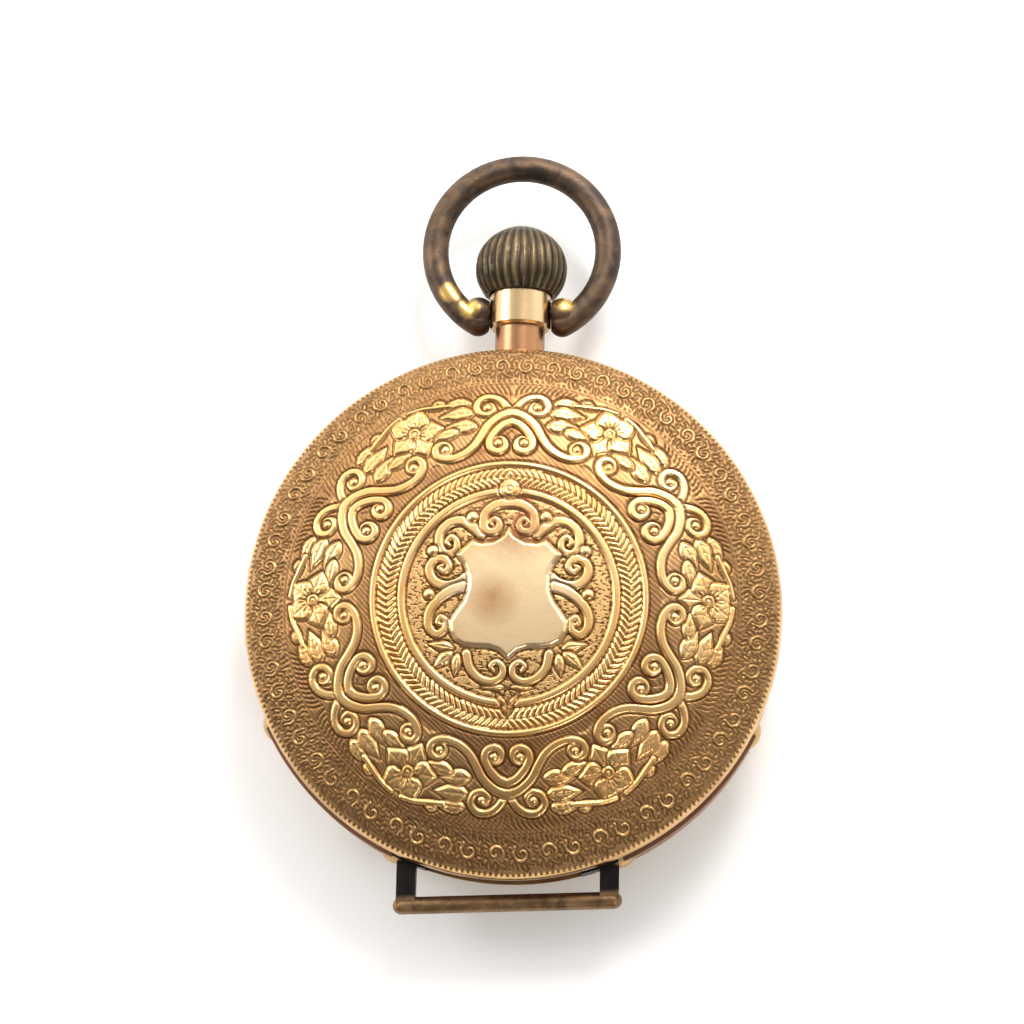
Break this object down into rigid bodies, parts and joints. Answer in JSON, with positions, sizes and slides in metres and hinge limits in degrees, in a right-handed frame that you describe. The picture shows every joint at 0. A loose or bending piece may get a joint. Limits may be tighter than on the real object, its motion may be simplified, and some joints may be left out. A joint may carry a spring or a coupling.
{
  "type": "fob watch",
  "caption": "Open-face fob watch with hinged engraved back and inner cover, bow, ribbed crown, strap bar, dial, hands and going train.",
  "frame": {"origin": "centre of the flat outer face of the glass, on which the watch lies face down", "axes": "+Z through the watch to the engraved back, +Y to the crown, +X to the right seen from the back"},
  "size_m": [0.034, 0.0499, 0.0098],
  "materials": {
    "engraved_gold": "engraved, lightly worn",
    "plain_gold": "polished, worn",
    "rose_brass": "brown pink tarnish",
    "worn_bronze": "dark patina with bright wear",
    "black_patina": "dark brown patina",
    "gilt_plate": "frosted gilt",
    "train_brass": "turned brass",
    "polished_steel": "polished",
    "blued_steel": "heat blued",
    "crystal_glass": "clear",
    "enamel": "white vitreous enamel",
    "ruby": "polished ruby"
  },
  "bodies": {
    "case": {"case_band": "rose_brass", "back_hinge_knuckles": "plain_gold", "bezel_hinge_knuckles": "plain_gold", "back_hinge_pin": "polished_steel", "bezel_hinge_pin": "polished_steel", "pendant_neck": "rose_brass", "pendant_sleeve": "plain_gold", "setting_boss": "rose_brass", "strap_bar": "black_patina", "lug_strip_left": "rose_brass", "lug_strip_right": "rose_brass", "dial": "enamel", "main_plate": "gilt_plate", "barrel_bridge": "gilt_plate", "train_bridge": "gilt_plate", "balance_cock": "gilt_plate", "regulator": "polished_steel", "bridge_jewels": "ruby", "bridge_screws": "blued_steel", "case_screws": "blued_steel", "crown_wheel_screw": "blued_steel", "click": "polished_steel", "click_spring": "blued_steel", "pallet_cock": "gilt_plate", "hairspring": "blued_steel"},
    "back_cover": {"back_cover": "engraved_gold", "back_cover_knuckles": "plain_gold"},
    "inner_cover": {"inner_cover": "plain_gold"},
    "bezel": {"front_bezel": "plain_gold", "crystal": "crystal_glass"},
    "bow": {"bow": "worn_bronze"},
    "crown": {"crown": "worn_bronze", "winding_stem": "polished_steel", "winding_pinion": "polished_steel", "sliding_pinion": "polished_steel"},
    "setting_pin": {"setting_pin": "polished_steel"},
    "crown_wheel": {"crown_wheel": "polished_steel"},
    "ratchet": {"ratchet_wheel": "polished_steel", "barrel_arbor": "polished_steel", "ratchet_screw": "blued_steel"},
    "barrel": {"barrel_drum": "train_brass", "barrel_lid": "train_brass", "mainspring": "blued_steel"},
    "center": {"center_wheel": "train_brass", "cannon_pinion": "train_brass", "minute_hand": "blued_steel"},
    "hour": {"hour_wheel": "train_brass", "hour_hand": "blued_steel"},
    "minute_work": {"minute_wheel": "train_brass"},
    "third": {"third_wheel": "train_brass"},
    "fourth": {"fourth_wheel": "train_brass"},
    "escape": {"escape_wheel": "train_brass"},
    "pallet": {"pallet_fork": "polished_steel"},
    "balance": {"balance_wheel": "train_brass", "balance_staff": "polished_steel"}
  },
  "joints": [
    {"name": "back_cover_hinge", "type": "hinge", "parent": "case", "child": "back_cover", "pos_m": [-0.01672, 0, 0.00583], "axis": [0, -1, 0], "range_deg": [0, 110]},
    {"name": "inner_cover_hinge", "type": "hinge", "parent": "case", "child": "inner_cover", "pos_m": [-0.01672, 0, 0.00583], "axis": [0, -1, 0], "range_deg": [0, 93.5]},
    {"name": "bezel_hinge", "type": "hinge", "parent": "case", "child": "bezel", "pos_m": [-0.01672, 0, 0.00257], "axis": [0, 1, 0], "range_deg": [0, 100]},
    {"name": "bow_pivot", "type": "hinge", "parent": "case", "child": "bow", "pos_m": [0, 0.02, 0.0042], "axis": [1, 0, 0], "range_deg": [-85, 85]},
    {"name": "crown_turn", "type": "hinge", "parent": "case", "child": "crown", "pos_m": [0, 0.0227, 0.0042], "axis": [0, 1, 0], "continuous": true},
    {"name": "setting_push", "type": "slide", "parent": "case", "child": "setting_pin", "axis": [0.3584, -0.9336, 0], "range_m": [0, 0.0004], "stiffness_N_per_m": 60, "springref_m": -0.0002},
    {"name": "crown_wheel_turn", "type": "hinge", "parent": "case", "child": "crown_wheel", "pos_m": [0, 0.0084, 0.0058], "axis": [0, 0, 1], "continuous": true},
    {"name": "ratchet_turn", "type": "hinge", "parent": "case", "child": "ratchet", "pos_m": [0.00424, 0.00334, 0.0058], "axis": [0, 0, 1], "continuous": true},
    {"name": "barrel_turn", "type": "hinge", "parent": "case", "child": "barrel", "pos_m": [0.00424, 0.00334, 0.0041], "axis": [0, 0, 1], "continuous": true},
    {"name": "center_turn", "type": "hinge", "parent": "case", "child": "center", "pos_m": [0, 0, 0.0048], "axis": [0, 0, 1], "continuous": true},
    {"name": "hour_turn", "type": "hinge", "parent": "case", "child": "hour", "pos_m": [0, 0, 0.0023], "axis": [0, 0, 1], "continuous": true},
    {"name": "minute_wheel_turn", "type": "hinge", "parent": "case", "child": "minute_work", "pos_m": [0, -0.0024, 0.0025], "axis": [0, 0, 1], "continuous": true},
    {"name": "third_turn", "type": "hinge", "parent": "case", "child": "third", "pos_m": [-0.00423, -0.00154, 0.0037], "axis": [0, 0, 1], "continuous": true},
    {"name": "fourth_turn", "type": "hinge", "parent": "case", "child": "fourth", "pos_m": [-0.00232, -0.00485, 0.0044], "axis": [0, 0, 1], "continuous": true},
    {"name": "escape_turn", "type": "hinge", "parent": "case", "child": "escape", "pos_m": [0.00058, -0.0059, 0.0038], "axis": [0, 0, 1], "continuous": true},
    {"name": "pallet_rock", "type": "hinge", "parent": "case", "child": "pallet", "pos_m": [0.00267, -0.00609, 0.0038], "axis": [0, 0, 1], "range_deg": [-3, 3]},
    {"name": "balance_swing", "type": "hinge", "parent": "case", "child": "balance", "pos_m": [0.00567, -0.0061, 0.0044], "axis": [0, 0, 1], "range_deg": [-270, 270]}
  ],
  "couplings": [
    {"joint": "inner_cover_hinge", "follows": "back_cover_hinge", "ratio": 0.85},
    {"joint": "crown_wheel_turn", "follows": "crown_turn", "ratio": -0.61538},
    {"joint": "ratchet_turn", "follows": "crown_turn", "ratio": 0.4},
    {"joint": "center_turn", "follows": "barrel_turn", "ratio": -8},
    {"joint": "third_turn", "follows": "barrel_turn", "ratio": 64},
    {"joint": "fourth_turn", "follows": "barrel_turn", "ratio": -480},
    {"joint": "escape_turn", "follows": "barrel_turn", "ratio": 4800},
    {"joint": "minute_wheel_turn", "follows": "barrel_turn", "ratio": 2.6667},
    {"joint": "hour_turn", "follows": "barrel_turn", "ratio": -0.66667}
  ]
}
